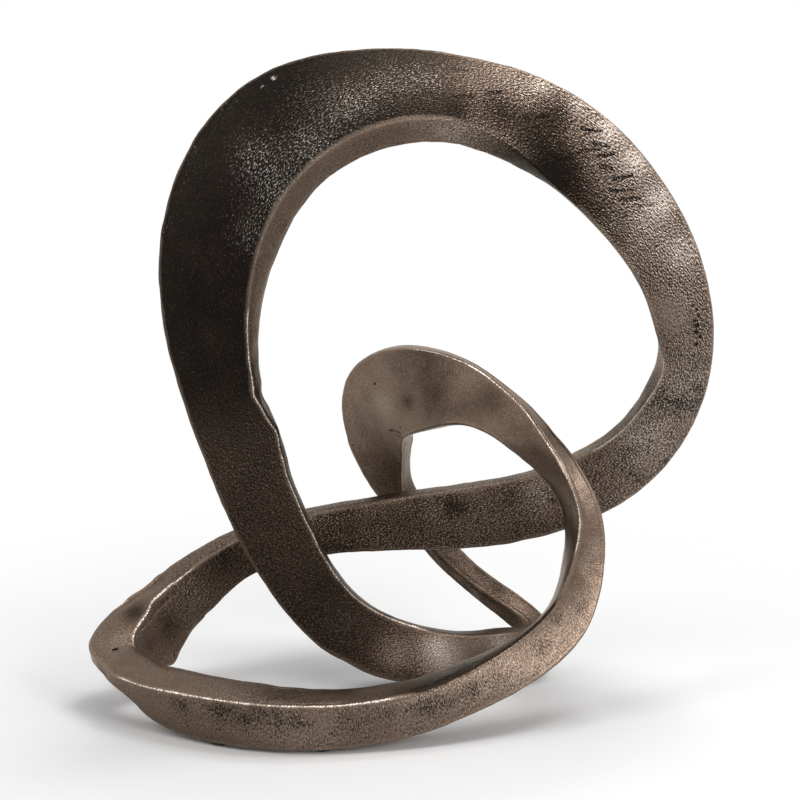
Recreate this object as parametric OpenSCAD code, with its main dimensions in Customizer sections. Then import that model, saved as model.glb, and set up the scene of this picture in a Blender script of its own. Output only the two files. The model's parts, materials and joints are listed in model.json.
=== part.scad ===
/* [Knot] */
// Width of the bar's centre line, from the left tip to the right limb
knot_width = 269.5; // [258:0.5:282]
// Depth of the centre line, from the front foot to the rear strut
knot_depth = 130; // [125:0.5:136]
// Height of the centre line, from the sole to the crest of the arch
knot_height = 281.5; // [270:0.5:294]

/* [Bar] */
// Radius of the four long edges of the bar
edge_r = 2.2; // [1:0.1:2.6]
// Rise of each face at its middle, as a share of the face's width
face_bulge = 0.025; // [0:0.005:0.04]
// Rings along the bar from one station to the next
rings_per_station = 6; // [4:1:10]

/* [Joints between the castings] */
// Joint of the small loop and the front foot, in stations along the bar
loop_foot_joint = 5.6; // [5.3:0.1:5.8]
// Joint of the front foot and the left tip
foot_tip_joint = 10; // [9.6:0.1:10.2]
// Joint of the left tip and the back rail
tip_rail_joint = 14.4; // [14.2:0.1:14.8]
// Joint of the back rail and the right bend, behind the riser
rail_bend_joint = 18.5; // [18.2:0.1:18.8]
// Joint of the right bend and the right arch
bend_arch_joint = 20.8; // [20.5:0.1:21.2]
// Joint of the right arch and the left arch
arch_joint = 24.4; // [24:0.1:24.8]
// Joint of the left arch and the lower sweep, at the notch
arch_sweep_joint = 29.4; // [29.1:0.1:29.8]
// Joint of the lower sweep and the rear strut, behind the foot
sweep_strut_joint = 35.2; // [35:0.1:35.3]
// Joint of the rear strut and the small loop, at the crease
strut_loop_joint = 41.5; // [41.3:0.1:41.8]
// Width of the groove round each joint, on each side of it
groove_w = 2.2; // [1.5:0.1:3]
// Depth of the groove that the weld bead fills
groove_d = 1.8; // [1:0.1:2.2]

/* [Dowels] */
// Diameter of the dowel in each joint
dowel_d = 5; // [3:0.5:6]
// Length of each dowel
dowel_l = 24; // [14:1:28]
// Gap round a dowel
dowel_gap = 0.05; // [0.02:0.01:0.15]
// Gap past each end of a dowel
dowel_end_gap = 1; // [0.5:0.5:2]

/* [Floor pads] */
// Diameter of each floor pad
pad_d = 9; // [6:0.5:10]
// Thickness of each floor pad
pad_h = 5; // [4.5:0.1:7]
// Height of the bar's lowest point over the floor
bar_lift = 1; // [0.5:0.1:2]
// Gap round a pad in its recess
pad_gap = 0.3; // [0.1:0.1:0.5]

/* [Hidden] */
// Stations along the bar, chosen by eye: its centre, the way its top face looks,
// and the width of its top face with the depth of its side faces
route = [
    [[-9, 46, 134.5], [-0.62, -0.72, -0.25], [41, 13]],  // crown left
    [[13, 20, 149.5], [-0.6, -0.8, 0.1], [39.5, 12]],  // crown top
    [[45, 1, 144.5], [-0.26, -0.95, 0.15], [23.7, 10.5]],  // crown right
    [[78.5, -5, 112], [-0.71, -0.52, -0.47], [20.5, 10.5]],  // riser top
    [[87.5, -6, 82], [-0.97, -0.24, 0.07], [20, 14.5]],  // riser mid
    [[82.4, -14, 53], [-0.93, 0.05, 0.38], [18.5, 19.5]],  // riser low
    [[62.5, -28, 33.5], [-0.48, 0.27, 0.83], [19, 21.5]],  // foot right
    [[23.5, -48, 20], [-0.26, 0.05, 0.96], [19, 21]],  // foot mid
    [[-18, -60, 13.5], [-0.04, -0.06, 1], [19.5, 22.5]],  // foot front
    [[-64, -61, 14], [0, -0.17, 0.98], [20, 24.5]],  // foot left
    [[-106, -42, 16], [-0.06, -0.24, 0.97], [20, 22]],  // foot end
    [[-124.3, -28, 21.8], [-0.1, -0.2, 0.97], [21.5, 10]],  // foot corner
    [[-138, -8, 26], [-0.08, -0.28, 0.96], [23, 8.6]],  // tip
    [[-129.5, 9, 29], [-0.22, -0.28, 0.93], [21, 25]],  // rail corner
    [[-115, 22, 36.3], [-0.33, -0.29, 0.9], [18.5, 31.5]],  // rail left
    [[-85, 33, 59.5], [-0.4, -0.28, 0.87], [14, 23]],  // rail rise
    [[-39, 38, 73.5], [-0.2, 0, 0.98], [13, 22]],  // rail cross
    [[15, 40, 79], [-0.1, 0.03, 0.99], [13, 29]],  // rail mid
    [[63.5, 37, 87], [-0.18, 0.05, 0.98], [13, 31]],  // rail right
    [[107.5, 28, 111], [-0.65, -0.02, 0.75], [14, 30]],  // limb low
    [[130.5, 12, 150.5], [-0.96, -0.02, 0.26], [15, 26.5]],  // limb turn
    [[131.5, 0, 190], [-0.97, 0.08, -0.19], [16, 28]],  // limb up
    [[117, -8, 227], [-0.82, -0.03, -0.55], [17, 33]],  // arch right
    [[84.5, -16, 266], [-0.6, -0.12, -0.79], [17, 39]],  // arch haunch
    [[40.5, -20, 290], [-0.24, -0.68, -0.69], [16.5, 38.5]],  // arch top
    [[-7, -24, 295], [0.13, -0.74, -0.66], [18, 45]],  // arch crest
    [[-52, -28, 279.5], [0.49, -0.65, -0.58], [18, 58]],  // arch left
    [[-77, -30, 245], [0.76, -0.58, -0.3], [18, 57]],  // side high
    [[-86, -29, 204.5], [0.92, -0.4, -0.06], [16, 46.5]],  // side mid
    [[-82.5, -26, 163.5], [0.96, -0.22, 0.19], [14.5, 36.5]],  // side low
    [[-73.5, -20, 132], [0.95, -0.07, 0.3], [13.5, 36.5]],  // drop high
    [[-59.5, -11, 90], [0.93, -0.03, 0.37], [13, 33.5]],  // drop cross
    [[-37, 5, 46], [0.8, 0.1, 0.6], [13, 30.5]],  // drop low
    [[-7.5, 17, 21], [0.37, 0.22, 0.91], [13, 29.5]],  // sole left
    [[27, 22, 13.5], [0.06, 0.14, 0.98], [14, 25.5]],  // sole mid
    [[52, 25.5, 14], [-0.05, 0.05, 0.99], [14, 25.5]],  // sole right
    [[68, 38, 17.5], [-0.1, -0.15, 0.98], [11.5, 15]],  // hairpin
    [[60, 54, 25], [0, -0.35, 0.93], [12, 11.5]],  // hairpin back
    [[40.5, 60, 38.5], [0.08, -0.53, 0.84], [12, 9]],  // strut low
    [[21, 66, 55.5], [0.4, -0.65, 0.64], [12.5, 8.5]],  // strut mid
    [[3.5, 69, 78], [0.6, -0.65, 0.45], [13, 12]],  // strut high
    [[-6.5, 64, 98.5], [0.92, -0.39, 0.03], [14, 21.5]],  // strut top
];

metal_dark = "#3a322d";
metal_light = "#8a7b6e";

stations = len(route);
joints = [
    loop_foot_joint, foot_tip_joint, tip_rail_joint, rail_bend_joint, bend_arch_joint,
    arch_joint, arch_sweep_joint, sweep_strut_joint, strut_loop_joint
];
// Floor pads: two under the front foot and two under the lower sweep, in stations along the bar
foot_pads = [8.4, 9.4];
sweep_pads = [33.6, 34.65];
// Moves the route so that the whole part is centred over the origin, with its pads on the floor
stand = [1.45, -1.5, bar_lift];
// Stations repeated past each end of the route, where the bar has turned by a quarter
overlap = 10;
// Rounds that bring the curve onto its stations
rounds = 24;
// Longest share of the narrower face that one edge radius takes
edge_share = 0.35;
// Flat sides of each dowel, hole, pad and recess
round_sides = 48;

function unit(v) = v / norm(v);
function wrap(i) = (i + 2 * stations) % stations;
function square_to(v, t) = unit(v - (v * t) * t);

// Control points of a smooth closed curve through the goals
function settle_closed(c, goals, n) = n == 0 ? c : settle_closed([
    for (i = [0:stations - 1])
        c[i] + goals[i] - (c[wrap(i - 1)] + 4 * c[i] + c[wrap(i + 1)]) / 6
], goals, n - 1);

// Control values of a smooth open curve through the goals
function settle_open(c, goals, n) = n == 0 ? c : let (last = len(c) - 1) settle_open([
    for (i = [0:last])
        c[i] + goals[i] - (c[max(i - 1, 0)] + 4 * c[i] + c[min(i + 1, last)]) / 6
], goals, n - 1);

// Weights of four control points at a share f of the way between two stations, and their slopes
function weights(f) = [
    pow(1 - f, 3), 3 * pow(f, 3) - 6 * f * f + 4, -3 * pow(f, 3) + 3 * f * f + 3 * f + 1, pow(f, 3)
] / 6;
function slopes(f) = [-(1 - f) * (1 - f), 3 * f * f - 4 * f, -3 * f * f + 2 * f + 1, f * f] / 2;

// Extent of the stations along an axis, and the stations brought to the knot's sizes
function span(axis) = let (v = [for (r = route) r[0][axis]]) max(v) - min(v);
lowest = min([for (r = route) r[0][2]]);
growth = [knot_width / span(0), knot_depth / span(1), knot_height / span(2)];
centres = [for (r = route) [
    growth[0] * r[0][0], growth[1] * r[0][1], lowest + growth[2] * (r[0][2] - lowest)
]];
curve = settle_closed(centres, centres, rounds);
headings = [for (i = [0:stations - 1]) unit(curve[wrap(i + 1)] - curve[wrap(i - 1)])];

// Look, top width and side depth at station k, which may lie past either end of the route
function shape_at(k) = let (
    i = wrap(k),
    t = headings[i],
    look = square_to(route[i][1], t),
    top = route[i][2][0],
    side = route[i][2][1]
) k < 0 ? concat(-cross(t, look), [side, top])
    : k < stations ? concat(look, [top, side])
    : concat(cross(t, look), [side, top]);

shapes = [for (k = [-overlap:stations + overlap - 1]) shape_at(k)];
shape_curve = settle_open(shapes, shapes, rounds);

function mix(list, first, w) =
    w[0] * list[first] + w[1] * list[first + 1] + w[2] * list[first + 2] + w[3] * list[first + 3];
function mix_curve(i, w) =
    w[0] * curve[wrap(i - 1)] + w[1] * curve[wrap(i)] + w[2] * curve[wrap(i + 1)] + w[3] * curve[wrap(i + 2)];

// Centre of the bar, its heading and its shape at u stations along it
function centre(u) = mix_curve(floor(u), weights(u - floor(u))) + stand;
function drift(u) = mix_curve(floor(u), slopes(u - floor(u)));
function shape(u) = mix(shape_curve, floor(u) + overlap - 1, weights(u - floor(u)));

// Turns a point about the centre of the section by a number of right angles
function quarter_turn(p, q) = q == 0 ? p : quarter_turn([-p[1], p[0]], q - 1);

// Section of the bar: each corner's arc, then three points of the crowned face after it
function section(top, side) = let (r = min(edge_r, edge_share * min(top, side))) [
    for (q = [0:3]) let (
        long = q % 2 == 0 ? top : side,
        deep = q % 2 == 0 ? side : top,
        arc = [for (a = [0:45:90]) [long / 2 - r + r * cos(a), deep / 2 - r + r * sin(a)]],
        face = [for (s = [0.5, 0, -0.5]) [s * long / 2, deep / 2 + face_bulge * long * (1 - s * s)]]
    ) each [for (p = concat(arc, face)) quarter_turn(p, q)]
];
sides = len(section(1, 1));

// Ring of points round the bar at u, drawn in by inset
function ring(u, inset = 0) = let (
    at = centre(u),
    heading = unit(drift(u)),
    s = shape(u),
    look = square_to([s[0], s[1], s[2]], heading),
    across = cross(heading, look)
) [for (p = section(s[3] - 2 * inset, s[4] - 2 * inset)) at + p[0] * across + p[1] * look];

// Stations that a length of bar covers near u
function reach(length, u) = length / norm(drift(u));

// Two triangles for each point of a ring, from ring a to ring b
function skin(a, b) = [
    for (j = [0:sides - 1]) let (k = (j + 1) % sides)
        each [[a * sides + j, a * sides + k, b * sides + k], [a * sides + j, b * sides + k, b * sides + j]]
];

// Solid length of bar from one joint to another, with half a groove at each end
module bar(from, to) {
    start = from + reach(groove_w, from);
    stop = to - reach(groove_w, to);
    steps = ceil((stop - start) * rings_per_station);
    rings = concat(
        [ring(from, groove_d)],
        [for (i = [0:steps]) ring(start + (stop - start) * i / steps)],
        [ring(to, groove_d)]
    );
    last = len(rings) - 1;
    faces = concat(
        [[for (j = [sides - 1:-1:0]) j]],
        [for (i = [0:last - 1]) each skin(i, i + 1)],
        [[for (j = [0:sides - 1]) last * sides + j]]
    );
    polyhedron([for (r = rings) each r], [for (f = faces) [for (j = [len(f) - 1:-1:0]) f[j]]]);
}

// Places its children on the bar's centre line at u, with +Z along the bar
module on_bar(u) {
    t = unit(drift(u));
    translate(centre(u)) rotate([0, acos(t[2]), atan2(t[1], t[0])]) children();
}

// Places its children on the floor, straight below the bar's centre line at u
module on_floor(u) {
    translate([centre(u)[0], centre(u)[1], 0]) children();
}

module dowel_hole(u) {
    on_bar(u) cylinder(
        d = dowel_d + 2 * dowel_gap, h = dowel_l + 2 * dowel_end_gap, center = true, $fn = round_sides
    );
}

module pad_recesses(places) {
    for (u = places)
        on_floor(u) translate([0, 0, -pad_h]) cylinder(d = pad_d + 2 * pad_gap, h = 2 * pad_h, $fn = round_sides);
}

module casting(from, to) {
    difference() {
        bar(from, to);
        dowel_hole(from);
        dowel_hole(to);
    }
}

module small_loop() {
    color(metal_light) casting(strut_loop_joint - stations, loop_foot_joint);
}

module front_foot() {
    color(metal_light) difference() {
        casting(loop_foot_joint, foot_tip_joint);
        pad_recesses(foot_pads);
    }
}

module left_tip() {
    color(metal_light) casting(foot_tip_joint, tip_rail_joint);
}

module back_rail() {
    color(metal_dark) casting(tip_rail_joint, rail_bend_joint);
}

module right_bend() {
    color(metal_light) casting(rail_bend_joint, bend_arch_joint);
}

module right_arch() {
    color(metal_light) casting(bend_arch_joint, arch_joint);
}

module left_arch() {
    color(metal_dark) casting(arch_joint, arch_sweep_joint);
}

module lower_sweep() {
    color(metal_dark) difference() {
        casting(arch_sweep_joint, sweep_strut_joint);
        pad_recesses(sweep_pads);
    }
}

module rear_strut() {
    color(metal_dark) casting(sweep_strut_joint, strut_loop_joint);
}

// Ring of weld metal that fills the groove at a joint, ground flush with the bar
module weld_bead(u) {
    half = reach(groove_w, u);
    rings = [ring(u, groove_d), ring(u + half), ring(u), ring(u - half)];
    faces = [for (i = [0:3]) each skin(i, (i + 1) % 4)];
    color(metal_light) polyhedron([for (r = rings) each r], faces);
}

module dowels() {
    color("silver") for (u = joints)
        on_bar(u) cylinder(d = dowel_d, h = dowel_l, center = true, $fn = round_sides);
}

module floor_pads() {
    color("#1c1c1c") for (u = concat(foot_pads, sweep_pads))
        on_floor(u) cylinder(d = pad_d, h = pad_h, $fn = round_sides);
}

small_loop();
front_foot();
left_tip();
back_rail();
right_bend();
right_arch();
left_arch();
lower_sweep();
rear_strut();
weld_bead(loop_foot_joint);  // loop_foot_weld
weld_bead(foot_tip_joint);  // foot_tip_weld
weld_bead(tip_rail_joint);  // tip_rail_weld
weld_bead(rail_bend_joint);  // rail_bend_weld
weld_bead(bend_arch_joint);  // bend_arch_weld
weld_bead(arch_joint);  // arch_weld
weld_bead(arch_sweep_joint);  // arch_sweep_weld
weld_bead(sweep_strut_joint);  // sweep_strut_weld
weld_bead(strut_loop_joint);  // strut_loop_weld
dowels();
floor_pads();
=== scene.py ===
"""A cast metal knot sculpture: one four-sided bar in a knot, with a worn brown patina."""
import itertools
import json
import math

import bpy
import numpy as np
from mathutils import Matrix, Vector
from mathutils.kdtree import KDTree


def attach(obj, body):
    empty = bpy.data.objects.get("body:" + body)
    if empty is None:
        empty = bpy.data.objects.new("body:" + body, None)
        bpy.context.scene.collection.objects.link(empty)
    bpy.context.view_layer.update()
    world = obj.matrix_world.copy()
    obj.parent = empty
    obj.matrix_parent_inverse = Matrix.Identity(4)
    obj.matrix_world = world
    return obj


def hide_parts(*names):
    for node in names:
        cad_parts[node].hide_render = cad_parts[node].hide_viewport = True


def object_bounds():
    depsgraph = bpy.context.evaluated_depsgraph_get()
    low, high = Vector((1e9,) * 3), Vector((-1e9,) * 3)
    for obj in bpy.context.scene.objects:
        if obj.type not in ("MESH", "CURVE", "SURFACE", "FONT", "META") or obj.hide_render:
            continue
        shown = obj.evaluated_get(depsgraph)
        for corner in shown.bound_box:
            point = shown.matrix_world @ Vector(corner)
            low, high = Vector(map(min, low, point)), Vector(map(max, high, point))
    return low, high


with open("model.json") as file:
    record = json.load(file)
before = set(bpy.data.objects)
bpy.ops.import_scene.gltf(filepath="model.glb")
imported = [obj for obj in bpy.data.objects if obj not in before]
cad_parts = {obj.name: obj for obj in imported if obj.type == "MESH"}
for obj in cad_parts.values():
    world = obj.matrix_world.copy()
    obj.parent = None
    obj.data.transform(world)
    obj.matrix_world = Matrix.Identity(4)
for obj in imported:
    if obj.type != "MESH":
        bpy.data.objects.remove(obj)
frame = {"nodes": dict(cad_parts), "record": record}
cad_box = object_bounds()
MM = 0.001

# Camera: the photograph's view, from a little above, with a long lens
ELEVATION = math.radians(14)
DISTANCE = 1300 * MM
TARGET = Vector((1.45, -1.5, 150)) * MM
PIXEL = 0.47 * MM  # what one pixel covers at the target
IMAGE_SIDE = 800
SENSOR = 36

# Castings, and the weld that starts each, in order along the bar
CASTINGS = ["small_loop", "front_foot", "left_tip", "back_rail", "right_bend",
            "right_arch", "left_arch", "lower_sweep", "rear_strut"]
WELDS = ["strut_loop_weld", "loop_foot_weld", "foot_tip_weld", "tip_rail_weld", "rail_bend_weld",
         "bend_arch_weld", "arch_weld", "arch_sweep_weld", "sweep_strut_weld"]
SAME_PLACE = 0.3 * MM  # points closer than this are one
GROOVE_DEPTH = 1.8 * MM  # from the surface down to the bottom of a weld

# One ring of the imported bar: on each of its sides an arc of three points, then three on the face
SIDES = 4
RING_POINTS = 24
SIDE_POINTS = RING_POINTS // SIDES
FACE_KNOTS = (-1, -0.6, 0, 0.6, 1)  # across a face: an arc's end, the face's points, the next arc's start
FIT_ROUNDS = 4  # of fitting a map to a ring and leaving out what lies off it
MOST_RINGS = 200  # along one casting
# One ring of the dressed skin
ARC_STEPS = 8
FACE_STEPS = 44
SIDE_STEPS = ARC_STEPS + FACE_STEPS
STEP_ALONG = 0.8 * MM
EDGE_SHARPNESS = 1.5  # 0.71 is a quarter circle; more comes closer to a sharp corner


# ---- Camera

def sight():
    """Where the camera stands, and its directions ahead, to the right and up."""
    ahead = Vector((0, math.cos(ELEVATION), -math.sin(ELEVATION)))
    above = Vector((0, math.sin(ELEVATION), math.cos(ELEVATION)))
    return TARGET - ahead * DISTANCE, ahead, Vector((1, 0, 0)), above


def set_camera():
    camera = bpy.data.objects.new("camera", bpy.data.cameras.new("camera"))
    camera.data.sensor_width = SENSOR
    camera.data.lens = SENSOR * DISTANCE / (PIXEL * IMAGE_SIDE)
    camera.location = sight()[0]
    camera.rotation_euler = (math.pi / 2 - ELEVATION, 0, 0)
    bpy.context.scene.collection.objects.link(camera)
    bpy.context.scene.camera = camera


# ---- The bar's rings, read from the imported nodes

def points_and_triangles(node):
    """Points and triangles of a CAD node, with the points that share a place made one."""
    mesh = frame["nodes"][node].data
    co = np.empty(len(mesh.vertices) * 3)
    mesh.vertices.foreach_get("co", co)
    mesh.calc_loop_triangles()
    corners = np.empty(len(mesh.loop_triangles) * 3, int)
    mesh.loop_triangles.foreach_get("vertices", corners)
    places, index = np.unique(np.round(co.reshape(-1, 3), 7), axis=0, return_inverse=True)
    return places, index.ravel()[corners].reshape(-1, 3)


def finder(points):
    tree = KDTree(len(points))
    for i, p in enumerate(points):
        tree.insert(p, i)
    tree.balance()
    return tree


def weld_rings(k):
    """The rings of weld k just before its joint, at it and just after it, not yet in order."""
    points = points_and_triangles(WELDS[k])[0]
    on_last, on_next = (
        np.array([tree.find(p)[2] < SAME_PLACE for p in points])
        for tree in (finder(points_and_triangles(casting)[0]) for casting in (CASTINGS[k - 1], CASTINGS[k]))
    )
    return points[on_last & ~on_next], points[~on_last & ~on_next], points[on_next & ~on_last]


def plane_axes(ring):
    return np.linalg.svd(ring - ring.mean(0))[2][:2]


def in_order(ring, ahead):
    """Puts the points of a ring in order, anticlockwise as seen from ahead, from the start of an arc."""
    centred = ring - ring.mean(0)
    u, v = plane_axes(ring)
    if np.cross(u, v) @ ahead < 0:
        v = -v
    ring = ring[np.argsort(np.arctan2(centred @ v, centred @ u))]
    gaps = np.linalg.norm(np.roll(ring, -1, 0) - ring, axis=1).reshape(SIDES, SIDE_POINTS).sum(0)
    pairs = gaps + np.roll(gaps, -1)
    return np.roll(ring, -int(pairs.argmin()), 0)


def in_order_of(ring, points):
    """Puts points in the order of a ring close by, by their places about the middle."""
    a, b = ring - ring.mean(0), points - points.mean(0)
    return points[np.linalg.norm(a[:, None] - b[None], axis=2).argmin(1)]


def carried(ring, goals, known):
    """Where a ring's points go under the flat map that best carries it onto the known goals."""
    flat = np.column_stack([(ring - ring.mean(0)) @ plane_axes(ring).T / MM, np.ones(len(ring))])
    use = known
    for _ in range(FIT_ROUNDS):
        fit = np.linalg.lstsq(flat[use], goals[use], rcond=None)[0]
        off = np.linalg.norm(flat @ fit - goals, axis=1)
        use = known & (off <= max(3 * np.median(off[use]), SAME_PLACE / 3))
    return flat @ fit


def walk(casting, first, last, ahead):
    """Rings along a casting, each in the order of the one before, also where a recess cuts into it."""
    points, triangles = points_and_triangles(casting)
    tree, end = finder(points), finder(last)
    apexes = {}
    for corners in triangles:
        for i in range(3):
            edge = frozenset((corners[i], corners[(i + 1) % 3]))
            apexes.setdefault(edge, []).append(corners[(i + 2) % 3])
    rings = [first]
    while True:
        ring = rings[-1]
        ids = [tree.find(p)[1] if tree.find(p)[2] < SAME_PLACE else -1 for p in ring]
        tips, known = np.zeros((RING_POINTS, 3)), np.zeros(RING_POINTS, bool)
        for j in range(RING_POINTS):
            for apex in apexes.get(frozenset((ids[j], ids[(j + 1) % RING_POINTS])), ()):
                if (points[apex] - ring[j]) @ ahead > 0:
                    tips[j], known[j] = points[apex], True
        turns = [(np.roll(tips, shift, 0), np.roll(known, shift)) for shift in (0, 1)]
        goals, known = min(turns, key=lambda turn: np.linalg.norm(turn[0] - ring, axis=1)[turn[1]].mean())
        following = carried(ring, goals, known)
        near = [tree.find(p) for p in following]
        following = np.array([hit[0] if hit[2] < SAME_PLACE else p for hit, p in zip(near, following)])
        rings.append(following)
        ahead = following.mean(0) - ring.mean(0)
        if np.mean([end.find(p)[2] < SAME_PLACE for p in following]) > 0.5:
            return rings
        if len(rings) > MOST_RINGS:
            raise RuntimeError("no end found along " + casting)


def read_rings():
    """All rings round the knot, and the piece that holds the bar from each ring to the next."""
    welds = [weld_rings(k) for k in range(len(WELDS))]
    before, _, after = welds[0]
    ahead = after.mean(0) - before.mean(0)
    first = in_order(after, ahead)
    rings, owners = [], []
    for k, casting in enumerate(CASTINGS):
        before, middle, after = welds[(k + 1) % len(WELDS)]
        along = walk(casting, first, before, ahead)
        rings += along
        owners += [casting] * (len(along) - 1) + [WELDS[(k + 1) % len(WELDS)]] * 2
        rings.append(in_order_of(along[-1], middle))
        first = in_order_of(rings[-1], after)
        ahead = after.mean(0) - before.mean(0)
    # Past the last ring comes the first one again, with the bar turned by whole sides
    turn = np.linalg.norm(rings[0] - first[0], axis=1).argmin()
    return np.array(rings), owners, int(turn) // SIDE_POINTS


# ---- The dressed skin: a fine grid, rings along the bar by points round it

def rounding_weights():
    """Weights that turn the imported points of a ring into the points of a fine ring."""
    weights = np.zeros((SIDES * SIDE_STEPS, RING_POINTS))
    knots = np.array(FACE_KNOTS)
    for side in range(SIDES):
        first, row = side * SIDE_POINTS, side * SIDE_STEPS
        for i in range(ARC_STEPS):
            # The corner as a rational curve; its control point is worked out from the arc's three points
            t = i / ARC_STEPS
            a, b, c = (1 - t) ** 2, 2 * EDGE_SHARPNESS * t * (1 - t), t * t
            out = 1 + math.sqrt(2)  # from a quarter circle's middle point out to its corner
            arc = np.array([a + b * (1 - out) / 2, b * out, c + b * (1 - out) / 2]) / (a + b + c)
            weights[row + i, first:first + 3] = arc
        for i in range(FACE_STEPS):
            s = 2 * i / FACE_STEPS - 1
            for k, knot in enumerate(knots):
                others = np.delete(knots, k)
                column = (first + 2 + k) % RING_POINTS
                weights[row + ARC_STEPS + i, column] = np.prod((s - others) / (knot - others))
    return weights


def lapped(values, sides_turned, before, after):
    """Adds rings before and after those of one lap, from the laps before and after it."""
    roll = sides_turned * SIDE_STEPS
    return np.concatenate([np.roll(values[-before:], roll, 1), values, np.roll(values[:after], -roll, 1)])


def fine_skin(rings, owners, sides_turned):
    """Points of the fine grid, and the piece that each of its rows of faces belongs to."""
    coarse = np.einsum("pk,rkc->rpc", rounding_weights(), rings)
    lap = lapped(coarse, sides_turned, 2, 3)
    lengths = np.linalg.norm(np.diff(lap, axis=0), axis=2).mean(1)
    slopes = np.diff(lap, axis=0) / lengths[:, None, None]
    gaps = lengths[:, None, None]
    tangents = (gaps[:-1] * slopes[1:] + gaps[1:] * slopes[:-1]) / (gaps[:-1] + gaps[1:])
    skin, rows = [], []
    for i, owner in enumerate(owners):
        length = lengths[i + 2]
        a, b, da, db = lap[i + 2], lap[i + 3], tangents[i + 1] * length, tangents[i + 2] * length
        steps = max(2, round(length / STEP_ALONG))
        for t in np.arange(steps) / steps:
            skin.append((1 + 2 * t) * (1 - t) ** 2 * a + t * (1 - t) ** 2 * da
                        + t * t * (3 - 2 * t) * b - t * t * (1 - t) * db)
        rows += [owner] * steps
    return np.array(skin), rows


def facing(skin, sides_turned):
    """Outward direction at each point of the grid."""
    lap = lapped(skin, sides_turned, 1, 1)
    out = np.cross(np.roll(skin, -1, 1) - np.roll(skin, 1, 1), lap[2:] - lap[:-2])
    return out / np.linalg.norm(out, axis=2, keepdims=True)


# ---- Noise

HASH_FACTORS = (73856093, 19349663, 83492791)
SEED_FACTOR = 2654435
MIX_FACTOR = 1274126177


def noise(points, size, seed):
    """Smooth values from -1 to 1, with bumps about size across, the same at each run."""
    place = points / size
    cell = np.floor(place).astype(np.int64)
    part = place - cell
    ease = part * part * (3 - 2 * part)
    total = np.zeros(points.shape[:-1])
    for corner in itertools.product((0, 1), repeat=3):
        x, y, z = np.moveaxis((cell + corner) * HASH_FACTORS, -1, 0)
        mixed = x ^ y ^ z ^ (seed * SEED_FACTOR)
        mixed = (mixed ^ (mixed >> 13)) * MIX_FACTOR & 0x7fffffff
        value = ((mixed ^ (mixed >> 16)) & 0xffff) / (0xffff / 2) - 1
        weight = np.prod(np.where(corner, ease, 1 - ease), axis=-1)
        total += weight * value
    return total


# ---- Finish of each casting

# For each casting: lightness of the bare metal, 0 for mid brown, below it darker and above it lighter, partly
# as rubbed metal and partly as painted light and shade, the left arch's deep dark being painted shade; share
# of black flecks; how smooth it is rubbed, from 0, the skin of the sand mould, to 1, satin; painted silvery
# glints; and whether the flecks lie across the bar, 1, or along it, 0
FINISHES = {
    "small_loop": (0.15, 0.12, 0.9, 0.0, 0.5),
    "front_foot": (0.15, 0.25, 0.75, 0.0, 1.0),
    "left_tip": (0.0, 0.2, 0.7, 0.0, 0.6),
    "back_rail": (-0.15, 0.5, 0.3, 0.1, 0.4),
    "right_bend": (0.4, 0.55, 0.3, 0.1, 0.4),
    "right_arch": (0.0, 0.35, 0.0, 0.1, 0.3),
    "left_arch": (-1.65, 0.3, 0.6, 0.1, 0.4),
    "lower_sweep": (-0.75, 0.4, 0.3, 0.15, 0.5),
    "rear_strut": (-0.3, 0.35, 0.75, 0.0, 0.5),
}
VALUES = ("tone_and_painted_light", "flecks", "smoothness", "painted_glint_and_chip", "across")  # the names of these, in order
BLEND_LENGTH = 14 * MM  # over which one casting's finish turns into the next one's
# How much higher than in the frame the middle of the broad faces stands
SWELLS = {"right_arch": 2.2 * MM, "left_arch": 1.4 * MM, "right_bend": 1.0 * MM}
BROAD_SIDES = (1, 3)
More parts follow.
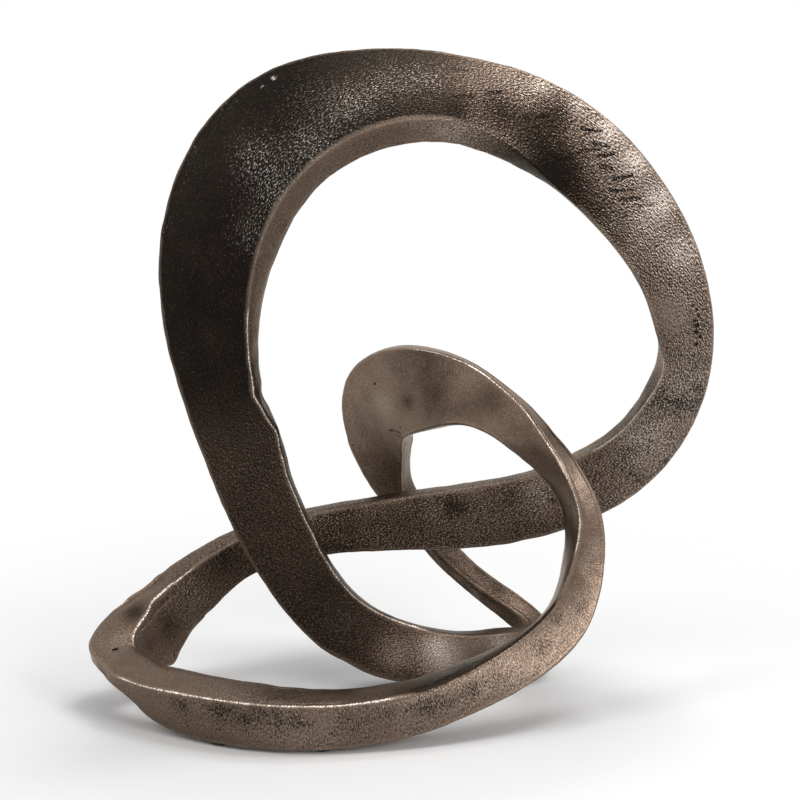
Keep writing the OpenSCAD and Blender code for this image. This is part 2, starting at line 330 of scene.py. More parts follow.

# Places whose finish differs, and where light and shade are painted in: the photograph's pixel there, radius
# in pixels and change of the value
PATCHES = {
    "tone_and_painted_light": [
        # face of the tall arch: painted highlights on its crest and outer edge, painted shade over its inner
        # part, and painted light on the top of the left arch
        (460, 72, 20, 0.1), (540, 86, 10, 0.6), (556, 114, 18, -0.9), (500, 112, 20, -1.1),
        (455, 112, 14, -0.8), (535, 136, 24, -1.2), (560, 172, 24, -1.1), (590, 208, 18, -0.7),
        (612, 240, 16, -0.5), (640, 285, 16, -0.3), (632, 280, 18, -0.2), (580, 104, 12, 0.7),
        (610, 128, 15, 1.4), (637, 158, 16, 1.45), (662, 199, 17, 1.2), (683, 250, 18, 0.9),
        (665, 312, 20, 0.35), (645, 220, 20, 0.35), (350, 92, 36, 0.45), (300, 135, 30, 0.2),
        (255, 225, 24, 0.2), (400, 80, 34, 0.4), (245, 145, 26, 0.3), (215, 335, 16, 0.2),
        (190, 300, 20, -0.2), (255, 345, 5, 0.35),
        # right limb and rail
        (690, 390, 26, 0.35), (640, 440, 26, 0.5), (590, 480, 20, 0.55), (540, 495, 22, 0.6),
        (455, 508, 12, -0.35), (400, 520, 26, -0.3), (345, 525, 26, -0.35), (225, 560, 22, -0.3),
        # lower sweep: painted highlight on its glossy end
        (395, 655, 24, 1.0), (450, 655, 26, 1.9), (500, 640, 20, 1.6), (430, 645, 16, 0.7),
        (475, 646, 12, 0.5), (428, 669, 14, 0.5),
        # strut
        (455, 578, 9, 0.4), (474, 594, 9, 0.5), (493, 611, 9, 0.5), (480, 570, 9, -0.4),
        (498, 587, 9, -0.5),
        # small loop and front foot
        (407, 402, 9, -0.5), (438, 396, 16, -0.25), (460, 408, 14, -0.3), (490, 402, 18, -0.5),
        (515, 425, 14, -0.2), (372, 470, 12, 0.3), (383, 405, 16, 0.3), (363, 446, 16, 0.25),
        (389, 450, 12, 0.1), (572, 505, 20, 0.25), (540, 440, 18, -0.2), (590, 560, 18, 0.05),
        (134, 613, 12, -0.75), (120, 640, 12, 0.1), (300, 738, 40, 0.2), (370, 691, 18, 0.3),
        (170, 630, 18, -0.4), (215, 600, 18, 0.1), (150, 645, 10, -0.3),
    ],
    "flecks": [
        (262, 290, 30, -0.1), (283, 205, 30, -0.1), (340, 150, 30, -0.1), (400, 130, 30, -0.1),
        (500, 76, 30, -0.25), (632, 150, 20, -0.25), (668, 205, 20, -0.1), (535, 130, 30, 0.15),
        (600, 215, 24, 0.15), (665, 312, 18, -0.5), (697, 325, 8, 0.2), (690, 400, 24, 0.2),
        (407, 406, 30, -0.05), (180, 706, 18, 0.25), (222, 712, 24, 0.32), (258, 717, 24, 0.32),
        (300, 724, 26, 0.28), (352, 722, 18, 0.3), (386, 718, 18, 0.3), (422, 709, 16, 0.26),
        (446, 703, 16, 0.26), (470, 692, 16, 0.26), (500, 679, 16, 0.25), (543, 645, 12, 0.35),
        (556, 617, 12, 0.3), (582, 606, 10, 0.3), (455, 508, 12, 0.3), (340, 690, 40, -0.1),
        (600, 600, 16, -0.2), (460, 652, 28, -0.55), (170, 620, 20, 0.3), (500, 640, 20, -0.2),
    ],
    "smoothness": [
        (665, 312, 20, 0.5), (134, 613, 14, 0.2), (465, 650, 24, 0.4), (190, 600, 26, -0.5),
        (250, 235, 24, -0.3), (275, 190, 26, -0.4), (310, 145, 30, -0.5), (350, 105, 34, -0.55),
        (395, 82, 34, -0.5), (235, 300, 14, -0.3),
    ],
    "painted_glint_and_chip": [
        # painted glints, mostly along the top of the left arch; the two smallest patches are pale chips
        (250, 235, 22, 0.5), (275, 190, 26, 0.6), (255, 155, 26, 0.5), (310, 145, 28, 0.6),
        (350, 105, 30, 0.6), (300, 95, 24, 0.3), (395, 82, 30, 0.45), (435, 80, 24, 0.4),
        (190, 160, 20, 0.15), (172, 230, 14, 0.1), (274, 77, 2.5, 2.5), (262, 86, 2, 1.5),
        (225, 100, 16, 0.3), (345, 620, 24, 0.25), (170, 610, 12, 0.4),
    ],
}

# Long places whose finish differs, mostly by painted light and shade: pixels along them, radius in pixels and
# change of each value
STRIPES = [
    # wall of the tall arch, smoother than its face and lighter with painted light, and its right end darkened
    # with painted shade
    ([(258, 385), (255, 360), (253, 340), (255, 317), (260, 270), (267, 245), (278, 217), (302, 184),
      (317, 170), (335, 160), (350, 152), (375, 139), (410, 131), (440, 131), (478, 145)],
     36, {"tone_and_painted_light": 1.65, "flecks": 0.1, "smoothness": 0.15}),
    ([(492, 149), (505, 154), (520, 161), (535, 170), (550, 180), (565, 191), (578, 203)],
     24, {"tone_and_painted_light": -2.4, "flecks": 0.6}),
    # inner side of the front foot, darkened with painted shade
    ([(385, 694), (402, 689), (430, 681), (462, 666), (495, 650), (510, 642)],
     15, {"tone_and_painted_light": -1.8, "flecks": 0.2}),
    # inner wall of the right limb, darkened with painted shade
    ([(661, 352), (660, 366), (652, 382), (641, 400), (626, 417), (606, 434), (585, 447)],
     14, {"tone_and_painted_light": -0.9}),
]


def blended(values, rows, lengths):
    """The value of each row's casting, smoothed along the bar."""
    known = [values.get(owner) for owner in rows]
    level = np.array([np.nan if value is None else value for value in known], float)
    empty = np.isnan(level)
    places = np.arange(len(level))
    level[empty] = np.interp(places[empty], places[~empty], level[~empty])
    reach = int(3 * BLEND_LENGTH / lengths.mean())
    offsets = np.arange(-reach, reach + 1)
    kernel = np.exp(-0.5 * (offsets * lengths.mean() / BLEND_LENGTH) ** 2)
    wrapped = np.concatenate([level[-reach:], level, level[:reach]])
    return np.convolve(wrapped, kernel / kernel.sum(), "valid")


# ---- Marks, placed by a pixel of the photograph on the skin that shows there

SPOT_PIXELS = 2.2  # a point this near to a pixel may be its spot
STRAND_DEPTH = 4 * MM  # points this much further away than the nearest are on the same strand
REACH = 2.5  # radii round a spot beyond which a weight is taken as nil
TURNED_AWAY = 0.45  # cosine at which a direction no longer counts as alike
PATCH_SPAN, STROKE_SPAN = 0.35, 0.25  # how much more than that it takes to count in full
END_WEIGHT = 0.1  # what is left of a stroke at its very ends
TINY = 1e-12


class Surface:
    """The skin as the camera sees it, with the marks that go on it."""

    def __init__(self, skin, out):
        self.points, self.out = skin.reshape(-1, 3), out.reshape(-1, 3)
        self.shape = skin.shape[:2]
        eye, ahead, right, above = (np.array(v) for v in sight())
        away = self.points - eye
        self.depth = away @ ahead
        scale = DISTANCE / PIXEL / self.depth
        self.x = IMAGE_SIDE / 2 + away @ right * scale
        self.y = IMAGE_SIDE / 2 - away @ above * scale
        self.seen = np.einsum("ij,ij->i", self.out, away) < 0
        edges = skin[:, ARC_STEPS // 2::SIDE_STEPS].reshape(-1, 3)
        self.edges, self.edge_finder = edges, finder(edges)

    def spot(self, x, y):
        """Index of the point of the skin that shows at a pixel."""
        off = np.hypot(self.x - x, self.y - y)
        off[~self.seen] = np.inf
        near = np.flatnonzero(off < max(SPOT_PIXELS, off.min() + 0.5))
        front = near[self.depth[near] < self.depth[near].min() + STRAND_DEPTH]
        return front[off[front].argmin()]

    def near(self, place, reach):
        return np.flatnonzero((np.abs(self.points - place) < reach).all(1))

    def alike(self, ids, at, span):
        """1 for points that face the same way as one of them, down to 0 for those that face away."""
        return np.clip((self.out[ids] @ self.out[at] - TURNED_AWAY) / span, 0, 1)

    def patch(self, x, y, radius):
        """Points near a pixel's spot that face the same way, with weights that fall off around it."""
        at = self.spot(x, y)
        ids = self.near(self.points[at], REACH * radius)
        off = np.linalg.norm(self.points[ids] - self.points[at], axis=1) / radius
        return ids, np.exp(-off ** 2) * self.alike(ids, at, PATCH_SPAN)

    def stroke(self, pixels, radius, fade, on_edge=False):
        """Points near the line through the pixels' spots; weights fall off around it and at its ends."""
        spots = [self.spot(x, y) for x, y in pixels]
        line = [self.points[i] for i in spots]
        if on_edge:
            line = [np.array(self.edge_finder.find(p)[0]) for p in line]
        total = np.zeros(len(self.points))
        lengths = [np.linalg.norm(b - a) for a, b in zip(line[:-1], line[1:])]
        starts = np.concatenate([[0], np.cumsum(lengths)])
        for a, b, i, start in zip(line[:-1], line[1:], spots, starts):
            ids = self.near((a + b) / 2, np.linalg.norm(b - a) / 2 + REACH * radius)
            along = np.clip((self.points[ids] - a) @ (b - a) / ((b - a) @ (b - a) + TINY), 0, 1)
            off = np.linalg.norm(self.points[ids] - a - along[:, None] * (b - a), axis=1) / radius
            travelled = start + along * np.linalg.norm(b - a)
            to_end = np.minimum(travelled, starts[-1] - travelled)
            weight = np.exp(-off ** 2) * np.clip(to_end / fade, END_WEIGHT, 1)
            if not on_edge:
                weight = weight * self.alike(ids, i, STROKE_SPAN)
            total[ids] = np.maximum(total[ids], weight)
        ids = np.flatnonzero(total)
        return ids, total[ids]


# Painted highlights: light lines along edges, by the photograph's pixels
PAINTED_HIGHLIGHT_EDGES = [
    [(112, 674), (131, 680), (160, 689), (200, 698), (240, 703), (290, 706), (340, 704), (380, 699),
     (402, 694)],
    [(405, 347), (430, 353), (455, 362), (480, 377), (505, 396), (525, 413), (545, 433), (560, 456),
     (570, 482), (575, 510), (576, 540), (570, 562)],
    [(252, 300), (252, 340), (253, 384), (257, 404), (272, 420), (279, 440), (287, 468), (300, 510),
     (318, 548), (340, 585), (365, 612), (400, 628), (435, 637)],
    [(170, 205), (176, 175), (187, 148), (203, 123), (224, 100), (250, 83)],
    [(663, 348), (664, 360), (662, 374), (654, 391), (644, 405), (634, 419), (618, 434), (602, 446),
     (585, 455)],
    [(131, 652), (134, 640), (145, 618), (160, 600), (178, 583), (200, 562)],
]
# Painted shade: dark lines along edges
PAINTED_SHADE_EDGES = [
    [(402, 694), (412, 690), (440, 683), (462, 675), (490, 663), (515, 643), (540, 617), (562, 588)],
]
# Edges that stay as dark as the faces beside them
PLAIN_EDGES = [
    [(440, 118), (470, 122), (500, 134), (530, 152), (560, 176), (580, 196), (600, 216)],
]
PLAIN_SHINE = -0.14
EDGE_RADIUS = 3 * MM
# Over how much of its ends a mark fades out
EDGE_FADE = 14 * MM
STRIPE_FADE = 30 * MM
NICK_FADE = 1.0 * MM
STRIPE_GAIN = 1.5  # makes the middle of a stripe even
# Nicks and creases: two pixels, half width and depth in mm, and how black they are
NICKS = [
    (452, 98, 474, 98, 0.6, 0.9, 0.8), (485, 95.5, 504, 93.5, 0.7, 0.9, 0.85),
    (522, 120, 548, 118, 0.6, 0.9, 0.7), (579, 129.5, 603, 131.5, 0.55, 0.9, 0.75),
    (590, 143.5, 612, 147, 0.55, 0.9, 0.8), (582, 150, 602, 149, 0.5, 0.8, 0.6),
    (594, 156.5, 615, 153.5, 0.55, 0.9, 0.8), (572, 153, 591, 152, 0.5, 0.8, 0.5),
    (610, 178.5, 634, 174.5, 0.5, 0.8, 0.8), (608, 190, 634, 188.5, 0.5, 0.8, 0.7),
    (618, 199, 644, 196.5, 0.5, 0.8, 0.8), (636, 205, 659, 202.5, 0.5, 0.6, 0.5),
    (389, 431, 401, 434, 0.7, 0.5, 1.0), (399, 425, 401, 430, 0.7, 0.5, 1.1),
    (111, 649.5, 119, 648.5, 0.8, 0.5, 1.8), (183, 388, 192, 391, 0.6, 0.3, 0),
    (203, 442, 212, 445, 0.6, 0.3, 0), (597, 164.5, 614, 168.5, 0.5, 0.7, 0.5),
    (556, 160, 573, 158, 0.5, 0.7, 0.4), (571, 168, 582, 172, 0.5, 0.6, 0.4),
    (449, 72, 473, 70, 0.6, 0.6, 0.45),
]
# Pits: a pixel, radius and depth in mm, and how black they are
PITS = [
    (374, 384, 0.8, 0.5, 1), (465, 72, 0.8, 0.3, 0.5), (693, 305, 0.7, 0.4, 1.1), (697, 309, 0.7, 0.4, 1.1),
    (698, 315, 0.7, 0.4, 1.1), (694, 319, 0.7, 0.4, 1.1), (690, 312, 0.6, 0.3, 0.8),
    (697, 325, 0.8, 0.4, 1.1), (695, 331, 0.7, 0.4, 1.1), (700, 336, 0.8, 0.35, 0.9),
    (696, 343, 0.8, 0.35, 0.9), (553, 500, 0.7, 0.3, 0.6), (458, 150, 0.7, 0.3, 0.5),
]
# Places moved in the plane of the picture: a pixel, radius, and how far to the right and up, in mm
PUSHES = [
    (256, 396, 5, -1.4, 0), (275, 432, 6, 1.6, 0.4), (290, 474, 8, -0.7, 0), (97, 668, 8, 3.0, 0.3),
    (92, 668, 8, 0.9, 0.3), (127, 709, 13, 0.9, 0.9), (167, 661, 7, 0.3, -2.2), (86, 664, 8, 2.4, 0),
    (178, 562, 9, 0.3, -0.6), (205, 545, 12, 0.2, -0.7), (653, 366, 14, 1.3, 0), (196, 622, 7, 0, 3.0),
    (190, 634, 5, -1, 1.6), (172, 656, 5, 1.2, -1.6), (142, 584, 9, 0.8, -2.2), (160, 575, 6, 0.4, -1.0),
    (124, 600, 5, 0.3, -0.9), (659, 362, 14, 1.6, 0), (654, 384, 12, 1.0, 0), (352, 662, 9, 0, 1.8),
    (266, 395, 5, -1.2, 0), (268, 402, 5, -0.7, 0), (297, 480, 10, -0.8, 0), (314, 537, 6, 0, 1.2),
    (548, 430, 13, -0.7, -0.7), (500, 387, 14, -0.5, -0.7),
]


def ridge_distance(skin):
    """Distance of each point from the nearest of the bar's four long edges."""
    edges = skin[:, ARC_STEPS // 2::SIDE_STEPS]
    return np.min([np.linalg.norm(skin - edges[:, k:k + 1], axis=2) for k in range(SIDES)], axis=0)


# Unevenness of the hand-finished metal: height and size of its bumps in mm
BUMPS = [(0.3, 42), (0.16, 17), (0.1, 7), (0.055, 3)]
EDGE_BUMPS = [(0.22, 9), (0.12, 4)]  # along the edges as well
EDGE_WIDTH = 2.5 * MM
SUNK = 0.15 * MM  # how much the whole surface is set back for them


def bumps(skin, sizes, seed):
    return sum(high * MM * noise(skin, size * MM, seed + i) for i, (high, size) in enumerate(sizes))


def relief(skin, ridge):
    """Height of the hand-finished surface over the smooth one."""
    worn = np.exp(-(ridge / EDGE_WIDTH) ** 2)
    return bumps(skin, BUMPS, 1) + worn * bumps(skin, EDGE_BUMPS, 1 + len(BUMPS)) - SUNK


def swelling(rows, lengths):
    """Extra crown of the broad faces."""
    levels = blended({casting: SWELLS.get(casting, 0) for casting in CASTINGS}, rows, lengths)
    crown = np.zeros(SIDES * SIDE_STEPS)
    s = 2 * np.arange(FACE_STEPS) / FACE_STEPS - 1
    for side in BROAD_SIDES:
        first = side * SIDE_STEPS + ARC_STEPS
        crown[first:first + FACE_STEPS] = 1 - s * s
    return levels[:, None] * crown


def finish_values(skin, out, rows, lengths):
    """The values that the materials read at each point, and the height of the marks."""
    around = np.ones(SIDES * SIDE_STEPS)
    values = {key: (blended({casting: FINISHES[casting][i] for casting in CASTINGS}, rows, lengths)[:, None]
                    * around).ravel() for i, key in enumerate(VALUES)}
    surface = Surface(skin, out)
    marks = np.zeros(len(surface.points))
    values["edge_light_shade_and_wear"] = np.zeros(len(surface.points))
    values["dirt"] = np.zeros(len(surface.points))
    for key, patches in PATCHES.items():
        for x, y, radius, change in patches:
            ids, weight = surface.patch(x, y, radius * PIXEL)
            values[key][ids] += change * weight
    for pixels, radius, changes in STRIPES:
        ids, weight = surface.stroke(pixels, radius * PIXEL, STRIPE_FADE)
        for key, change in changes.items():
            values[key][ids] += change * np.minimum(STRIPE_GAIN * weight, 1)
    for lines, sign in ((PAINTED_HIGHLIGHT_EDGES, 1), (PAINTED_SHADE_EDGES, -1), (PLAIN_EDGES, PLAIN_SHINE)):
        for line in lines:
            ids, weight = surface.stroke(line, EDGE_RADIUS, EDGE_FADE, on_edge=True)
            values["edge_light_shade_and_wear"][ids] = np.where(np.abs(values["edge_light_shade_and_wear"][ids]) < weight, sign * weight,
                                            values["edge_light_shade_and_wear"][ids])
    nicks = [(surface.stroke([mark[:2], mark[2:4]], mark[4] * MM, NICK_FADE), mark[5:]) for mark in NICKS]
    pits = [(surface.patch(*mark[:2], mark[2] * MM), mark[3:]) for mark in PITS]
    for (ids, weight), (depth, dirt) in nicks + pits:
        marks[ids] -= depth * MM * weight
        values["dirt"][ids] = np.maximum(values["dirt"][ids], dirt * weight)
    shape = surface.shape
    return {key: grid.reshape(shape) for key, grid in values.items()}, marks.reshape(shape)


def pushed(skin, out):
    """The skin with its outline corrected."""
    surface = Surface(skin, out)
    right, above = (np.array(v) for v in sight()[2:])
    moved = surface.points.copy()
    for x, y, radius, to_right, up in PUSHES:
        place = surface.points[surface.spot(x, y)]
        ids = surface.near(place, REACH * radius * MM)
        weight = np.exp(-(np.linalg.norm(surface.points[ids] - place, axis=1) / (radius * MM)) ** 2)
        moved[ids] += weight[:, None] * (to_right * right + up * above) * MM
    return moved.reshape(skin.shape)


# ---- Pieces

def link(mesh, name, material):
    obj = bpy.data.objects.new(name, mesh)
    bpy.context.scene.collection.objects.link(obj)
    obj.data.materials.append(material)
    return obj


def dress(mesh, node, materials):
    """Makes the piece that stands for a CAD node."""
    slot = SLOTS[node]
    piece = link(mesh, node + "_metal", materials[slot])
    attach(piece, "root")
    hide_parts(node)


def grid_faces(count):
    """Faces between count rings of the skin, one after another."""
    around = SIDES * SIDE_STEPS
    i, j = np.meshgrid(np.arange(count - 1), np.arange(around), indexing="ij")
    k = (j + 1) % around
    corners = [i * around + j, i * around + k, (i + 1) * around + k, (i + 1) * around + j]
    return np.stack(corners, -1).reshape(-1, 4)


def piece_mesh(name, rings, normals, caps):
    """A length of the bar, closed by caps, or a ring of weld metal, closed on itself."""
    around = SIDES * SIDE_STEPS
    points = rings.reshape(-1, 3)
    faces = grid_faces(len(rings)).tolist()
    last = (len(rings) - 1) * around
    if caps:
        faces += [list(range(around - 1, -1, -1)), list(range(last, last + around))]
    else:
        faces += [[last + j, last + (j + 1) % around, (j + 1) % around, j] for j in range(around)]
    mesh = bpy.data.meshes.new(name)
    mesh.from_pydata(points.tolist(), [], faces)
    mesh.polygons.foreach_set("use_smooth", np.ones(len(faces), bool))
    mesh.normals_split_custom_set_from_vertices(normals.reshape(-1, 3).tolist())
    return mesh


def add_values(mesh, name, values):
    """Gives each point of a mesh a number, or a vector, for its material to read."""
    layer = mesh.attributes.new(name, "FLOAT" if values.ndim == 2 else "FLOAT_VECTOR", "POINT")
    layer.data.foreach_set("value" if values.ndim == 2 else "vector", values.astype(np.float32).ravel())


def dress_bar(skin, rows, turned, materials):
    """Makes the piece for each casting and weld from its own rings of the skin."""
    skin = pushed(skin, facing(skin, turned))
    out = facing(skin, turned)
    lengths = np.linalg.norm(np.diff(skin, axis=0), axis=2).mean(1)
    ridge = ridge_distance(skin)
    values, marks = finish_values(skin, out, rows, lengths)
    height = relief(skin, ridge) + swelling(rows, lengths) + marks
    shaped = np.clip(skin + out * height[..., None], np.array(cad_box[0]), np.array(cad_box[1]))
    normals = facing(shaped, turned)
    across = np.cumsum(np.linalg.norm(np.roll(skin, -1, 1) - skin, axis=2), axis=1)
    along = np.concatenate([[0], np.cumsum(lengths)])[:, None] + np.zeros(ridge.shape)
    values["ridge"] = ridge
    values["flow"] = np.stack([along, across, np.zeros(ridge.shape)], -1)
    count = len(rows)
    starts = [i for i in range(count) if rows[i] != rows[i - 1]]
    for start, stop in zip(starts, starts[1:] + [starts[0] + count]):
        name = str(rows[start])
        index = np.arange(start, stop + 1)

        def part(grid):
            """This piece's rows of a grid, past the last row from the bar as it has turned."""
            taken = grid[index % count]
            taken[index >= count] = np.roll(taken[index >= count], -turned * SIDE_STEPS, 1)
            if name in WELDS:
                taken = np.concatenate([taken, taken[len(taken) // 2][None]])
            return taken

        points, directions = part(shaped), part(normals)
        if name in WELDS:
            points[-1] -= directions[-1] * GROOVE_DEPTH
        mesh = piece_mesh(name, points, directions, name in CASTINGS)
        for key, grid in values.items():
            add_values(mesh, key, part(grid))
        dress(mesh, name, materials)


# ---- Materials

# Colours of the bare metal by its lightness, of what lies on it, and of painted highlights, painted shade and
# painted glints
METAL = [
    (0.0, (0.008, 0.0058, 0.0045)), (0.3, (0.042, 0.029, 0.0212)), (0.5, (0.139, 0.096, 0.070)),
    (0.7, (0.265, 0.204, 0.163)), (1.0, (0.62, 0.54, 0.475)),
]
BLACK = (0.012, 0.009, 0.0072)  # patina left in the low places
WORN = (0.3, 0.22, 0.165)  # edges a little rubbed
EDGE_SHADE_COLOR = (0.02, 0.014, 0.01)  # painted shade along edges
EDGE_HIGHLIGHT_COLOR = (0.7, 0.62, 0.54)  # painted highlights along edges
# silvery painted glints, and a few pale chips
GLINT_COLOR = (0.5, 0.455, 0.42)
METALLIC = 0.95
EDGE_TINT = (0.95, 0.88, 0.8, 1)  # of the metal seen at a glancing angle
# Marks in a metre along the bar and across it
LENGTHWISE = (800, 1500, 1)
CROSSWISE = (1700, 700, 1)
GLINTS = (700, 1900, 1)
# Other places in the same pattern: beside each grain, for its painted lit side, and apart, for the painted
# glints
LIT_SIDE = (0.3, 0.45, 0)
APART = (3, 7, 0)
# Cells in a metre
GRAIN_SCALE = 1500.0
BLOTCH_SCALE = 85.0
CLOUD_SCALE = 18.0
BUMP_HEIGHT = 0.8 * MM


def new_material(name):
    material = bpy.data.materials.new(name)
    material.use_nodes = True
    nodes = material.node_tree.nodes
    nodes.clear()
    return material, nodes, material.node_tree.links


def new_node(nodes, kind, **inputs):
    made = nodes.new(kind)
    for key, value in inputs.items():
        made.inputs[key.replace("_", " ")].default_value = value
    return made


def math_node(nodes, links, operation, *terms):
    made = nodes.new("ShaderNodeMath")
    made.operation = operation
    for socket, term in zip(made.inputs, terms):
        if isinstance(term, (int, float)):
            socket.default_value = term
        else:
            links.new(term, socket)
    return made.outputs[0]


def sum_of(nodes, links, *terms, start=0.0):
    """Adds up outputs, each times a share."""
    total = start
    for output, share in terms:
        total = math_node(nodes, links, "MULTIPLY_ADD", output, share, total)
    return total


def ramp(nodes, links, value, stops):
    made = nodes.new("ShaderNodeValToRGB")
    elements = made.color_ramp.elements
    while len(elements) < len(stops):
        elements.new(0.5)
    for element, (place, color) in zip(elements, stops):
        element.position = place
        element.color = (*color, 1)
    links.new(value, made.inputs[0])
    return made.outputs[0]


def grey(v):
    return (v, v, v)


def share(nodes, links, value, low, high):
    """0 where a value is at or under low, 1 at or over high, and the other way round where high is lower."""
    made = nodes.new("ShaderNodeMapRange")
    made.interpolation_type = "SMOOTHSTEP"
    for socket, number in zip(made.inputs[1:5], (low, high, 0, 1)):
        socket.default_value = number
    links.new(value, made.inputs[0])
    return made.outputs[0]


def centred_noise(nodes, links, vector, scale, detail=2.0, roughness=0.5):
    made = new_node(nodes, "ShaderNodeTexNoise", Scale=scale, Detail=detail, Roughness=roughness)
    links.new(vector, made.inputs["Vector"])
    return math_node(nodes, links, "SUBTRACT", made.outputs[0], 0.5)


def mixed(nodes, links, factor, a, b):
    """A colour between a and b."""
    made = nodes.new("ShaderNodeMix")
    made.data_type = "RGBA"
    links.new(factor, made.inputs[0])
    for socket, term in zip(made.inputs[6:8], (a, b)):
        if isinstance(term, tuple):
            socket.default_value = (*term, 1)
        else:
            links.new(term, socket)
    return made.outputs[2]


def patina(name):
    """Cast metal under a brown-black patina, rubbed through where it is high or handled."""
    material, nodes, links = new_material(name)
    out = nodes.new("ShaderNodeOutputMaterial")
    shader = nodes.new("ShaderNodeBsdfPrincipled")
    links.new(shader.outputs[0], out.inputs["Surface"])
    place = nodes.new("ShaderNodeTexCoord").outputs["Object"]
    read = {}
    for key in (*VALUES, "ridge", "edge_light_shade_and_wear", "dirt"):
        attribute = nodes.new("ShaderNodeAttribute")
        attribute.attribute_name = key
        read[key] = attribute.outputs["Fac"]
    flow = nodes.new("ShaderNodeAttribute")
    flow.attribute_name = "flow"

    def stretched(scale, shift=(0, 0, 0)):
        stretch = nodes.new("ShaderNodeVectorMath")
        stretch.operation = "MULTIPLY_ADD"
        stretch.inputs[1].default_value = scale
        stretch.inputs[2].default_value = shift
        links.new(flow.outputs["Vector"], stretch.inputs[0])
        return centred_noise(nodes, links, stretch.outputs[0], 1.0, 1.5)

    def calc(operation, *terms):
        return math_node(nodes, links, operation, *terms)

    def total(*terms, start=0.0):
        return sum_of(nodes, links, *terms, start=start)

    lengthwise, crosswise = stretched(LENGTHWISE), stretched(CROSSWISE)
    turned = calc("SUBTRACT", crosswise, lengthwise)
    fleck = calc("MULTIPLY_ADD", turned, read["across"], lengthwise)
    grain = centred_noise(nodes, links, place, GRAIN_SCALE)
    blotch = centred_noise(nodes, links, place, BLOTCH_SCALE, 4.0, 0.65)
    cloud = centred_noise(nodes, links, place, CLOUD_SCALE)
    # Height of the sand grain, which the patina fills and the polish tops
    sand = total((fleck, 1.0), (grain, 0.55))
    coarse = calc("MULTIPLY_ADD", read["smoothness"], -0.85, 1.0)
    rough_sand = calc("MULTIPLY", sand, coarse)
    # Painted light and shade on the grain: one side of each grain is painted lighter and the other darker, as
    # if lit from that side
    beside = stretched(LENGTHWISE, LIT_SIDE)
    rubbed = calc("MULTIPLY", calc("SUBTRACT", lengthwise, beside), calc("POWER", coarse, 3.0))
    # Lightness: the metal's own colour and grain, with painted light and shade from the casting and patch
    # values and from the grain's lit side
    lightness = total((read["tone_and_painted_light"], 0.32), (blotch, 0.22), (cloud, 0.2), (rough_sand, 0.9), (rubbed, 1.5),
                      (sand, 0.15), start=0.49)
    metal = ramp(nodes, links, lightness, METAL)
    # Depth of the patina: more in the low places, in the blotches and where the marks ask for it
    depth = total((rough_sand, -1.6), (sand, -1.2), (blotch, 1.7), (read["flecks"], 1.5), (read["dirt"], 1.5),
                  start=-0.8)
    black = share(nodes, links, depth, -0.4, 0.6)
    color = mixed(nodes, links, black, metal, BLACK)

    def edge_line(unevenness, wide, narrow, none, full):
        """1 near the edges, from wide to narrow in mm, where the value of painted edge light, shade and wear
        lies between none and full.
        """
        off = total((read["ridge"], 1 / MM), *unevenness)
        return calc("MULTIPLY", share(nodes, links, off, wide, narrow),
                    share(nodes, links, read["edge_light_shade_and_wear"], none, full))

    # Lines along the edges, broken up by the sand grain and the blotches: painted highlights, painted shade,
    # and a little wear
    edge_highlight = edge_line([(sand, 2.4), (blotch, 0.8)], 0.45, 0.05, 0.15, 0.6)
    edge_shade = edge_line([(sand, 0.9)], 1.6, 0.9, -0.15, -0.6)
    worn = edge_line([(blotch, 3.0)], 2.2, 0.4, -0.12, -0.04)
    color = mixed(nodes, links, calc("MULTIPLY", worn, 0.3), color, WORN)
    color = mixed(nodes, links, edge_shade, color, EDGE_SHADE_COLOR)
    color = mixed(nodes, links, edge_highlight, color, EDGE_HIGHLIGHT_COLOR)
    # Painted glints: silvery specks on the black skin, where lamps would glint off the grain, and a few pale
    # chips
    glint = stretched(GLINTS, APART)
    painted_glint = share(nodes, links, total((glint, 1.0), (read["painted_glint_and_chip"], 0.16), (sand, 0.3)), 0.13, 0.33)
    painted_glint = calc("MULTIPLY", painted_glint, read["painted_glint_and_chip"])
    color = mixed(nodes, links, painted_glint, color, GLINT_COLOR)
    links.new(color, shader.inputs["Base Color"])
    shader.inputs["Metallic"].default_value = METALLIC
    shader.inputs["Specular Tint"].default_value = EDGE_TINT
    rough = total((read["smoothness"], -0.12), (black, 0.12), (blotch, 0.2), (edge_highlight, -0.12), start=0.4)
    links.new(rough, shader.inputs["Roughness"])
    bump = nodes.new("ShaderNodeBump")
    bump.inputs["Distance"].default_value = BUMP_HEIGHT
    bump.inputs["Strength"].default_value = 1.0
    links.new(rough_sand, bump.inputs["Height"])
    links.new(bump.outputs[0], shader.inputs["Normal"])
    return material


def plain_material(name, color, metallic, roughness, grain_size):
    material, nodes, links = new_material(name)
    out = nodes.new("ShaderNodeOutputMaterial")
    shader = nodes.new("ShaderNodeBsdfPrincipled")
    links.new(shader.outputs[0], out.inputs["Surface"])
    place = nodes.new("ShaderNodeTexCoord").outputs["Object"]
    grain = new_node(nodes, "ShaderNodeTexNoise", Scale=1 / grain_size, Detail=3.0)
    links.new(place, grain.inputs["Vector"])
    dark = tuple(0.75 * v for v in color)
    links.new(ramp(nodes, links, grain.outputs[0], [(0.35, dark), (0.65, color)]), shader.inputs["Base Color"])
    links.new(ramp(nodes, links, grain.outputs[0], [(0.3, grey(roughness)), (0.7, grey(roughness + 0.12))]),
              shader.inputs["Roughness"])
    shader.inputs["Metallic"].default_value = metallic
    bump = nodes.new("ShaderNodeBump")
    bump.inputs["Distance"].default_value = 0.1 * MM
    bump.inputs["Strength"].default_value = 0.4
    links.new(grain.outputs[0], bump.inputs["Height"])
    links.new(bump.outputs[0], shader.inputs["Normal"])
    return material


# ---- Studio

WORLD_LEVEL = 0.4
FLOOR_HALF = 12.0
FLOOR_FADE = (0.11, 0.36)  # how far from the middle the floor starts to turn white, and is white
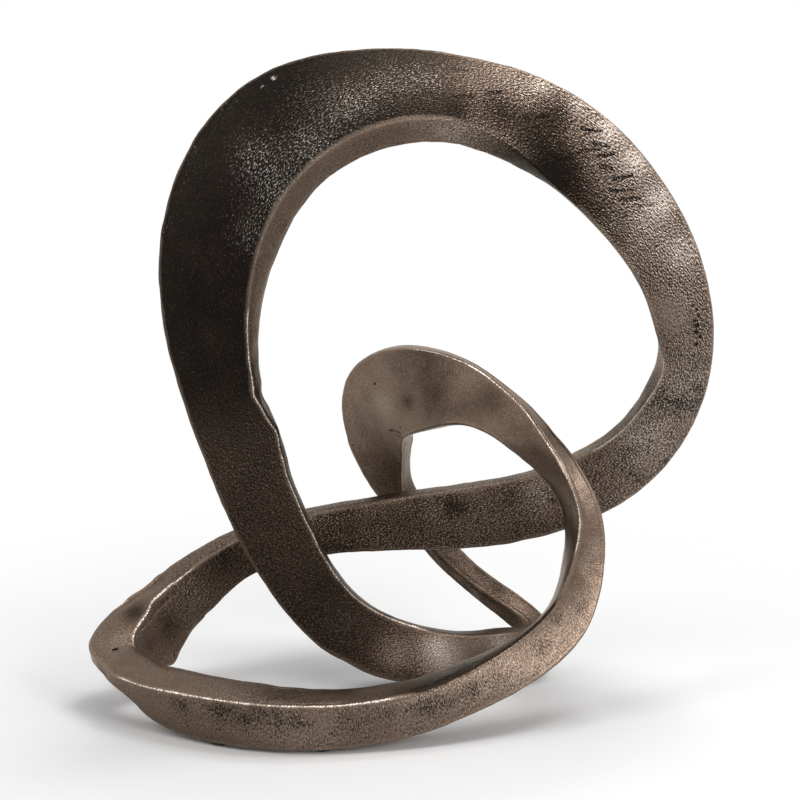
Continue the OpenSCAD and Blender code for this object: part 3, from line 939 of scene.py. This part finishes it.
# Name, place, aim, width and height, and power
LAMPS = [
    ("overhead", (0.35, 0.1, 1.25), (0, 0, 0.15), (0.7, 0.5), 9),
    ("key", (0.95, -1.05, 0.65), (0, 0, 0.17), (0.4, 0.7), 8),
    ("left", (-0.9, -0.5, 0.95), (0, 0, 0.2), (0.3, 0.6), 3),
]


def white_seen(nodes, links):
    """1 for what the camera sees, directly or in a reflection, and 0 for the light on the object."""
    path = nodes.new("ShaderNodeLightPath")
    camera, glossy, through = (path.outputs[f"Is {kind} Ray"] for kind in ("Camera", "Glossy", "Transmission"))
    return math_node(nodes, links, "MAXIMUM", camera, math_node(nodes, links, "MAXIMUM", glossy, through))


def mix_shader(nodes, links, factor, a, b):
    mix = nodes.new("ShaderNodeMixShader")
    for socket, output in zip(mix.inputs, (factor, a, b)):
        links.new(output, socket)
    return mix.outputs[0]


def set_world(level):
    world = bpy.data.worlds.new("studio")
    bpy.context.scene.world = world
    world.use_nodes = True
    nodes, links = world.node_tree.nodes, world.node_tree.links
    nodes.clear()
    out = nodes.new("ShaderNodeOutputWorld")
    soft = new_node(nodes, "ShaderNodeBackground", Color=(1, 1, 1, 1), Strength=level)
    white = new_node(nodes, "ShaderNodeBackground", Color=(1, 1, 1, 1), Strength=1)
    links.new(mix_shader(nodes, links, white_seen(nodes, links), soft.outputs[0], white.outputs[0]),
              out.inputs["Surface"])


def add_floor():
    """Pale floor that keeps the object's shadow and turns into the white background around it."""
    mesh = bpy.data.meshes.new("floor")
    corners = [(x * FLOOR_HALF, y * FLOOR_HALF, 0) for x, y in ((-1, -1), (1, -1), (1, 1), (-1, 1))]
    mesh.from_pydata(corners, [], [(0, 1, 2, 3)])
    material, nodes, links = new_material("floor")
    out = nodes.new("ShaderNodeOutputMaterial")
    shader = new_node(nodes, "ShaderNodeBsdfPrincipled", Roughness=0.9)
    shader.inputs["Base Color"].default_value = (0.9, 0.9, 0.9, 1)
    white = new_node(nodes, "ShaderNodeEmission", Color=(1, 1, 1, 1), Strength=1)
    spread = nodes.new("ShaderNodeVectorMath")
    spread.operation = "LENGTH"
    links.new(nodes.new("ShaderNodeTexCoord").outputs["Object"], spread.inputs[0])
    away = share(nodes, links, spread.outputs["Value"], *FLOOR_FADE)
    seen = math_node(nodes, links, "MULTIPLY", away, white_seen(nodes, links))
    links.new(mix_shader(nodes, links, seen, shader.outputs[0], white.outputs[0]), out.inputs["Surface"])
    link(mesh, "floor", material)


def add_lamp(name, place, aim, size, power):
    data = bpy.data.lights.new(name, "AREA")
    data.shape = "RECTANGLE"
    data.size, data.size_y = size
    data.energy = power
    lamp = bpy.data.objects.new(name, data)
    lamp.location = place
    lamp.rotation_euler = (Vector(aim) - Vector(place)).to_track_quat("-Z", "Y").to_euler()
    bpy.context.scene.collection.objects.link(lamp)


# ---- The scene

SLOTS = {part["node"]: part["material_slot"] for part in frame["record"]["subparts"]}

set_camera()
materials = {slot: patina(slot) for slot in ("dark_patina", "bronze_patina", "light_patina")}
materials["dowel_steel"] = plain_material("dowel_steel", (0.6, 0.6, 0.61), 1, 0.3, 1.5 * MM)
materials["pad_rubber"] = plain_material("pad_rubber", (0.02, 0.02, 0.02), 0, 0.7, 1 * MM)
rings, owners, turned = read_rings()
dress_bar(*fine_skin(rings, owners, turned), turned, materials)
for name in ("dowels", "floor_pads"):
    slots = frame["nodes"][name].data.materials
    slots.clear()
    slots.append(materials[SLOTS[name]])

set_world(WORLD_LEVEL)
add_floor()
for lamp in LAMPS:
    add_lamp(*lamp)

scene = bpy.context.scene
scene.view_settings.view_transform = "Standard"
